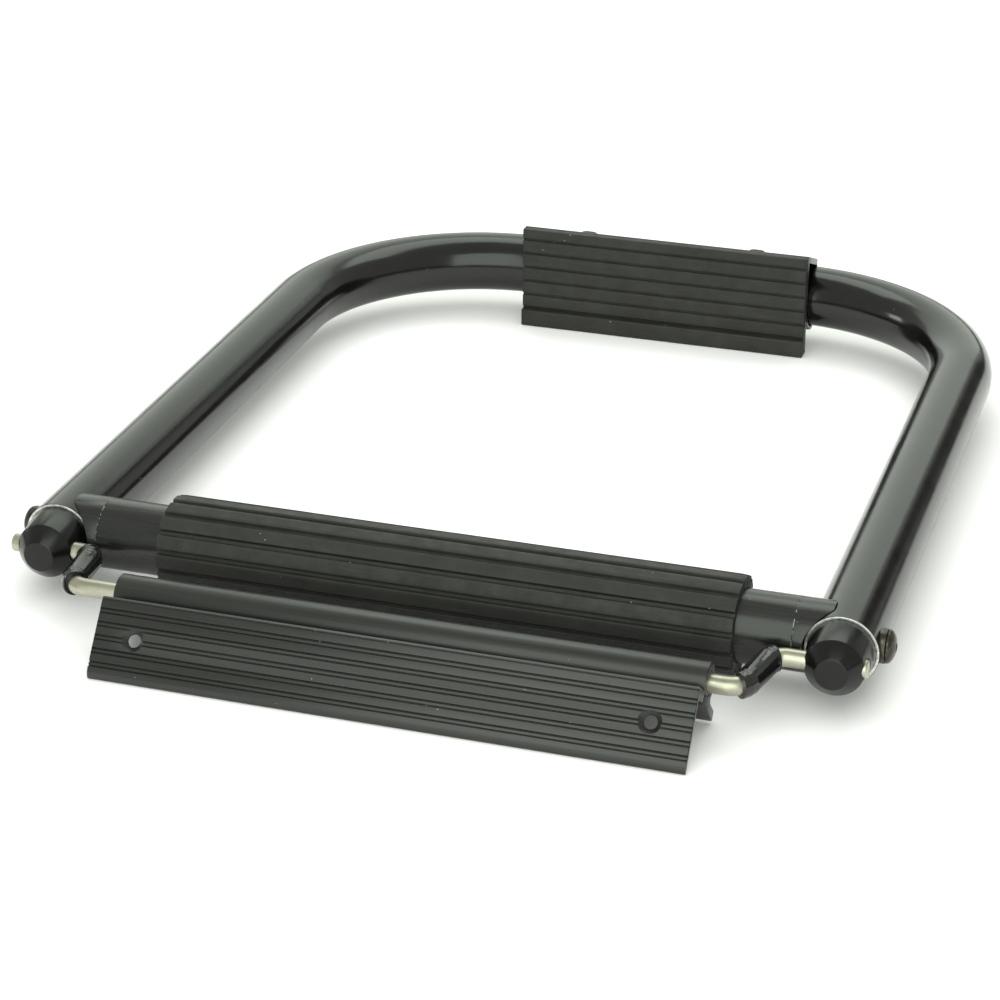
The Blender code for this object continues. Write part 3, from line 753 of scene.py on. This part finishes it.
def build_tread_screws():
    angle = math.radians(ARM_ANGLE)
    distance = TUBE_R + ARM_THICK + 2 * GAP
    seat = (distance - math.cos(angle) * TREAD_SCREW_BACK) / math.sin(angle)
    for (name, _), x in zip(SIDES, TREAD_SCREW_X):
        head = [(-0.004, 0), (-0.004, 0.0022), (0, 0.0022), (0, 0.0042), (0.0004, 0.0042)]
        head += [(0.0009, 0.0031), (0.0011, 0.0018), (0.0011, 0)]
        head = lathe(head, 72, "Z", radius=0.0004)
        at = HOOP @ Matrix.Translation((x, LEG_LENGTH + TREAD_SCREW_BACK, seat))
        at = at @ turn_x(angle - math.pi / 2)
        item = finish_mesh("tread_screw_head_" + name, head, at, SCREW)
        slots = []
        for turn in (0.4, 0.4 + math.pi / 2):
            bar = bmesh.new()
            bmesh.ops.create_cube(bar, size=1.0)
            bmesh.ops.scale(bar, vec=(0.0046, 0.0009, 0.0014), verts=bar.verts)
            turned = at @ Matrix.Translation((0, 0, 0.0012)) @ Matrix.Rotation(turn, 4, "Z")
            slots.append(finish_mesh("cross_slot", bar, turned, None))
        carve(item, slots)
        place(item, "hoop", "dark_fastener", "tread_screw_" + name)


# ---- rod ----------------------------------------------------------------------------
def crank_path(steps):
    left = [(ROD_TIPS[0], 0, 0), (UPPER_ELBOWS[0], 0, 0), (LOWER_ELBOWS[0], -CRANK, 0)]
    right = [(LOWER_ELBOWS[1], -CRANK, 0), (UPPER_ELBOWS[1], 0, 0), (ROD_TIPS[1], 0, 0)]
    return rounded_path(left + right, ELBOW_R, steps)


def build_rod():
    steps = 20
    frames = path_frames(crank_path(steps))
    rings = tube_rings(frames, ROD_R, ROD_SIDES)
    tip_shape = ((0.0, 0.0), (0.0, 0.84), (0.00012, 0.92), (0.0004, 0.98), (0.0009, 1.0))
    tips = []
    for end, inward in ((0, 1), (-1, -1)):
        point, side, tangent = frames[end]
        fine = []
        for away, radius in tip_shape:
            moved = point + tangent * (inward * away)
            if radius == 0.0:
                fine.append([moved])
            else:
                fine += tube_rings([(moved, side, tangent)], ROD_R * radius, ROD_SIDES)
        tips.append(fine)
    rod = lofted(tips[0] + rings[1:-1] + tips[1][::-1])
    place(finish_mesh("cranked_rod", rod, SKEWED_ROD, STEEL, 40), "rod", "stainless", "pivot_rod")

    for name, side in SIDES:
        elbow = steps + 1
        first = 1 + steps // 2 + (2 * elbow if side > 0 else 0)
        part = frames[first:first + elbow + 1]
        outer = []
        for k, ring in enumerate(tube_rings(part, VINYL_R, VINYL_SIDES)):
            centre = part[k][0]
            swell = 1.0 + 0.012 * math.sin(k * 1.7)
            outer.append([centre + (point - centre) * swell for point in ring])
        inner = tube_rings(part, ROD_R + 0.00015, VINYL_SIDES)
        lips = []
        for k in (0, -1):
            centre = part[k][0]
            back = part[1 if k == 0 else -2][0] - centre
            shift = back.normalized() * 0.0003
            lips.append([point + shift for point in outer[k]])
            outer[k] = [centre + (point - centre) * 0.965 for point in outer[k]]
        rings = [outer[0], lips[0]] + outer[1:-1] + [lips[1], outer[-1]] + inner[::-1]
        tube = lofted(rings, closed=True)
        item = finish_mesh("vinyl_sleeve_" + name, tube, SKEWED_ROD, VINYL, 50)
        place(item, "rod", "vinyl", "crank_sleeve_" + name)


# ---- bracket ------------------------------------------------------------------------
def build_bracket():
    """One extruded profile: grooved plate, boss round the rod and rear flange."""
    def local(back, up):
        return (back - BORE_BACK, up - BORE_UP)

    ledge = 180.0 + math.degrees(math.asin(BORE_UP / BOSS_R))
    # The plate's top edge has a small bevel with a fine groove below it.
    plate = [local(0.004, 0), local(0.0008, 0), local(0, -0.0009)]
    plate += [local(0, -0.0011), local(0.00035, -0.0014), local(0, -0.0017)]
    for k in range(PLATE_GROOVES):
        middle = -PLATE_FIRST_GROOVE - k * PLATE_GROOVE_PITCH
        for up, deep in (
            (0.00128, 0), (0.0011, 0.0006), (0.00085, 0.0008), (0.00055, 0.0003),
            (-0.00055, 0.0003), (-0.00085, 0.0008), (-0.0011, 0.0006), (-0.00128, 0),
        ):
            plate.append(local(deep, middle + up))
    for k in range(6):
        bend = math.radians(PLATE_FOOT_DEG * k / 5)
        drop = PLATE_FOOT_R * (math.sin(math.radians(PLATE_FOOT_DEG)) - math.sin(bend))
        plate.append(local(PLATE_FOOT_R * (1 - math.cos(bend)), drop - PLATE_HEIGHT))
    plate.append(local(PLATE_THICK, -PLATE_HEIGHT))
    plate += [local(PLATE_THICK, -0.0046), local(0.0117, -0.0046), local(0.0120, -0.0002)]
    flange = [local(BORE_BACK + GAP, -0.0046), local(0.0364, -0.0083), local(0.037, -0.0077)]
    flange += [local(0.037, -0.0039), local(0.0276, -0.0024)]
    outline = softened(plate, 0.00015, 3, closed=False)
    outline += arc(BORE_R, 215.0, -90.5, 48)
    outline += softened(flange, 0.0005, 3, closed=False)
    outline += arc(BOSS_R, -38.0, ledge, 56)
    half = BRACKET_LENGTH / 2
    at = BRACKET @ Matrix.Translation((BRACKET_SHIFT, 0, 0))
    item = finish_mesh("bracket_extrusion", extruded(outline, -half, half, 0.0002), at, EXTRUSION)
    front = -BORE_BACK
    profile = [(front - 0.003, 0), (front - 0.003, SINK_R + 0.0003), (front, SINK_R)]
    profile += [(front + SINK_DEPTH, HOLE_R), (front + 0.006, HOLE_R), (front + 0.006, 0)]
    holes = []
    for _, side in SIDES:
        hole = lathe(profile, 64, "Y")
        centre = (side * HOLE_HALF_SPACING, 0, -BORE_UP - HOLE_DOWN)
        bmesh.ops.translate(hole, verts=hole.verts, vec=centre)
        holes.append(finish_mesh("screw_hole", hole, at, None))
    carve(item, holes)
    place(item, "bracket", "extrusion", "hinge_bracket")


# ---- CAD nodes that stay ------------------------------------------------------------
def dress_nodes():
    """Materials for the inserts and bushes, which keep their CAD mesh."""
    for name, _ in SIDES:
        for node, mat in (("threaded_insert_", BRASS), ("hinge_bush_", NYLON)):
            data = frame["nodes"][node + name].data
            data.materials.clear()
            data.materials.append(mat)


# ---- camera, lights, floor ------------------------------------------------------------
def build_camera():
    """Camera solved in the hoop's frame from the straight and round edges of the object."""
    azimuth = -0.3057
    elevation = 0.4424
    roll = 0.0022
    centre = Vector((0.35078, -1.02003, 0.55405))
    turn = Matrix.Rotation(roll, 3, "Z") @ Matrix.Rotation(elevation, 3, "X")
    turn = turn @ Matrix(((1, 0, 0), (0, 0, -1), (0, 1, 0))) @ Matrix.Rotation(azimuth, 3, "Z")
    right, down, ahead = (Vector(row) for row in turn)
    axes = HOOP.to_3x3() @ Matrix((right, -down, -ahead)).transposed()
    data = bpy.data.cameras.new("camera")
    data.lens = 102.03
    data.sensor_width = 36.0
    data.clip_start = 0.05
    data.clip_end = 30.0
    item = bpy.data.objects.new("camera", data)
    item.matrix_world = Matrix.Translation(HOOP @ centre) @ axes.to_4x4()
    bpy.context.scene.collection.objects.link(item)
    bpy.context.scene.camera = item


def add_softbox(name, centre, target, size, radiance, tint, glossy=True):
    """Rectangular light that the camera doesn't see, with a given radiance."""
    data = bpy.data.lights.new(name, "AREA")
    data.shape = "RECTANGLE"
    data.size, data.size_y = size
    data.energy = radiance * size[0] * size[1] * math.pi
    data.color = tint
    item = bpy.data.objects.new(name, data)
    item.location = centre
    item.rotation_euler = (Vector(centre) - Vector(target)).to_track_quat("Z", "Y").to_euler()
    item.visible_camera = False
    item.visible_glossy = glossy
    bpy.context.scene.collection.objects.link(item)


def build_studio():
    """Soft surrounding light with a darker horizon and one dim gap, softboxes, pale floor."""
    world = bpy.data.worlds.new("studio")
    world.use_nodes = True
    nodes = world.node_tree.nodes
    links = world.node_tree.links
    coords = nodes.new("ShaderNodeTexCoord")
    split = nodes.new("ShaderNodeSeparateXYZ")
    ramp = nodes.new("ShaderNodeValToRGB")
    links.new(coords.outputs["Generated"], split.inputs[0])
    links.new(split.outputs["Z"], ramp.inputs["Fac"])
    stops = ((0.0, 0.12), (0.055, 0.12), (0.10, 0.62), (1.0, 0.62))
    elements = ramp.color_ramp.elements
    while len(elements) < len(stops):
        elements.new(0.5)
    for element, (position, value) in zip(elements, stops):
        element.position = position
        element.color = (0.97 * value, value, 0.92 * value, 1.0)
    links.new(ramp.outputs["Color"], nodes["Background"].inputs["Color"])

    def band(socket, low, high):
        node = nodes.new("ShaderNodeMapRange")
        node.inputs["From Min"].default_value = low
        node.inputs["From Max"].default_value = high
        links.new(socket, node.inputs["Value"])
        return node.outputs[0]

    def times(first, second):
        node = nodes.new("ShaderNodeMath")
        node.operation = "MULTIPLY"
        links.new(first, node.inputs[0])
        links.new(second, node.inputs[1])
        return node.outputs[0]

    across = times(band(split.outputs["X"], 0.28, 0.31), band(split.outputs["X"], 0.47, 0.44))
    low = times(band(split.outputs["Y"], 0.5, 0.6), band(split.outputs["Z"], 0.60, 0.45))
    gap = times(across, low)
    dim = nodes.new("ShaderNodeMapRange")
    dim.inputs["To Min"].default_value = 1.0
    dim.inputs["To Max"].default_value = 0.15
    links.new(gap, dim.inputs["Value"])
    links.new(dim.outputs[0], nodes["Background"].inputs["Strength"])
    bpy.context.scene.world = world

    tint = (0.90, 1.0, 0.90)
    add_softbox("overhead", (-0.10, 0.85, 1.30), (-0.10, 0.85, 0), (1.5, 0.8), 2.6, tint)
    add_softbox("behind", (-0.32, 1.35, 0.62), (0, 0.2, 0.1), (1.86, 0.95), 0.95, tint)
    add_softbox("front", (0.27, -1.60, 1.10), (0.27, 0, 1.10), (1.85, 2.20), 2.3, tint)
    add_softbox("side", (-1.60, 0.15, 0.45), (0.1, 0.2, 0), (0.35, 0.25), 5.0, tint)
    pale = (0.97, 1.0, 0.98)
    add_softbox("fill", (0.0, -0.10, 1.70), (0, 0, 0), (2.4, 2.4), 1.3, pale, glossy=False)

    floor = bmesh.new()
    bmesh.ops.create_grid(floor, x_segments=1, y_segments=1, size=6.0)
    sockets = {"Specular_IOR_Level": 0.1, "Emission_Strength": 0.06}
    tree = Tree("pale_floor", (0.84, 0.82, 0.83), 0.9, **sockets)
    tree.shader.inputs["Emission Color"].default_value = (1.0, 1.0, 1.0, 1.0)
    item = finish_mesh("floor", floor, Matrix.Identity(4), tree.done())
    bpy.context.scene.view_settings.view_transform = "Standard"


build_camera()
build_studio()
build_hoop_tube()
build_cut_rings()
build_plugs()
build_crossbar()
build_sleeve()
build_leg_fasteners()
build_tread()
build_tread_screws()
build_rod()
build_bracket()
dress_nodes()
